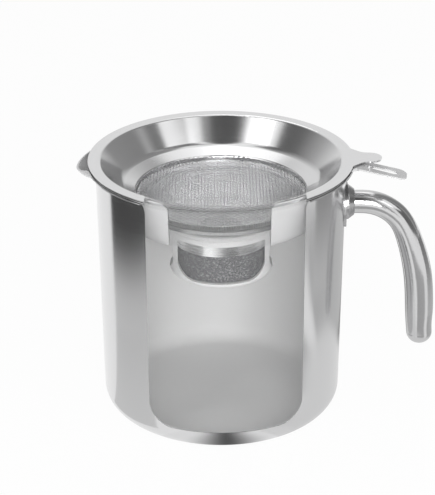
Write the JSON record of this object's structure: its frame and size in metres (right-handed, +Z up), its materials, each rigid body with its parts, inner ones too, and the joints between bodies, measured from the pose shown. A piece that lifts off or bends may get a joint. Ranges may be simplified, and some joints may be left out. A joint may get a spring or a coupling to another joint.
{
  "type": "bacon grease container",
  "caption": "Steel grease pot with spout and handle, lift-out funnel, strainer tray, push-on filter cup with cartridge, dish lid with knob and see-through front sections.",
  "frame": {"origin": "centre of the pot's flat base, on the surface that it stands on", "axes": "+Z up along the pot's axis; the spout points along -X, the handle along +X, the see-through front sections face -Y and the lid is parked towards +Y"},
  "size_m": [0.191, 0.2996, 0.1389],
  "materials": {
    "pot_steel": "satin, fine vertical brushing",
    "front_clear": "clear, very slightly milky",
    "handle_steel": "satin",
    "funnel_steel": "bright satin",
    "tray_steel": "bright inside, fine satin flange",
    "mesh_steel": "fine woven wire",
    "lid_steel": "bright satin",
    "knob_steel": "polished",
    "fastener_steel": "bright",
    "seal_rubber": "white, matt",
    "cup_plastic": "white",
    "cartridge_steel": "satin",
    "filter_felt": "dark carbon felt with pale flecks"
  },
  "bodies": {
    "pot": {"pot_body": "pot_steel", "pot_front_section": "front_clear", "handle_saddle_plate": "handle_steel", "handle_ferrule": "handle_steel", "handle_tube": "handle_steel", "handle_end_cap": "handle_steel"},
    "funnel": {"funnel_body": "funnel_steel", "funnel_front_section": "front_clear", "filter_seal_ring": "seal_rubber"},
    "tray": {"tray_body": "tray_steel", "tray_front_section": "front_clear", "tray_mesh": "mesh_steel", "tray_mesh_ring": "tray_steel"},
    "cup": {"filter_cup": "cup_plastic"},
    "cartridge": {"cartridge_ring": "cartridge_steel", "cartridge_filter_sleeve": "filter_felt", "cartridge_base": "cartridge_steel"},
    "lid": {"lid_dish": "lid_steel", "lid_knob": "knob_steel", "knob_washer": "seal_rubber", "knob_screw": "fastener_steel"}
  },
  "joints": [
    {"name": "lid_swing", "type": "hinge", "parent": "pot", "child": "lid", "pos_m": [0, 0.081, 0.0811], "axis": [1, 0, 0], "range_deg": [0, 180]},
    {"name": "funnel_lift", "type": "slide", "parent": "pot", "child": "funnel", "axis": [0, 0, -1], "range_m": [-0.1, 0]},
    {"name": "tray_lift", "type": "slide", "parent": "funnel", "child": "tray", "axis": [0, 0, -1], "range_m": [-0.06, 0]},
    {"name": "cup_pull", "type": "slide", "parent": "funnel", "child": "cup", "axis": [0, 0, -1], "range_m": [0, 0.03]},
    {"name": "cartridge_lift", "type": "slide", "parent": "cup", "child": "cartridge", "axis": [0, 0, 1], "range_m": [0, 0.015]}
  ]
}
